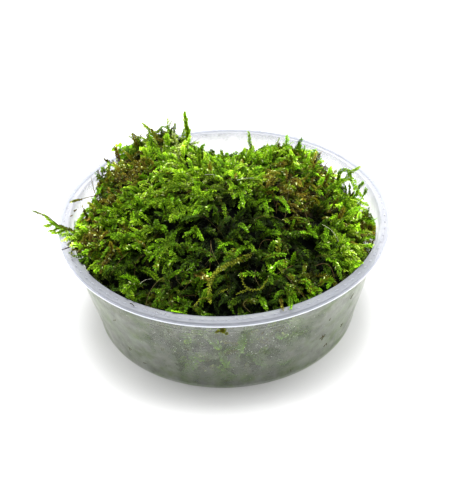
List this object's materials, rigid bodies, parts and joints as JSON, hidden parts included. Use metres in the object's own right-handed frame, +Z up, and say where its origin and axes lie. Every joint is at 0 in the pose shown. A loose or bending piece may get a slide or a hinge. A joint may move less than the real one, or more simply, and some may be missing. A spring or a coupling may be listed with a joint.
{
  "type": "clump of aquarium moss in a round tub",
  "caption": "Tangled clump of feathery green water moss heaped above the rim of a shallow round translucent plastic tub.",
  "frame": {"origin": "middle of the tub's flat underside", "axes": "+Z up out of the tub, -Y towards the viewer of the picture, +X to the viewer's right"},
  "size_m": [0.125, 0.117, 0.0605],
  "materials": {
    "polypropylene": "smooth moulded, translucent",
    "green_moss": "soft and leafy, damp",
    "olive_moss": "soft and leafy, ageing",
    "dead_moss": "dull and dry"
  },
  "bodies": {
    "root": {"tub": "polypropylene", "moss_mound": "green_moss", "left_rim_shoot": "green_moss", "left_back_leaf": "green_moss", "back_left_spike": "green_moss", "back_spike": "green_moss", "right_arch_shoot": "green_moss", "right_side_shoot": "green_moss", "front_rim_shoot_right": "green_moss", "left_arc_shoot": "olive_moss", "left_upright_strand": "olive_moss", "front_yellow_shoot": "olive_moss", "front_rim_shoot_left": "olive_moss", "left_dark_strand": "dead_moss"}
  },
  "joints": []
}
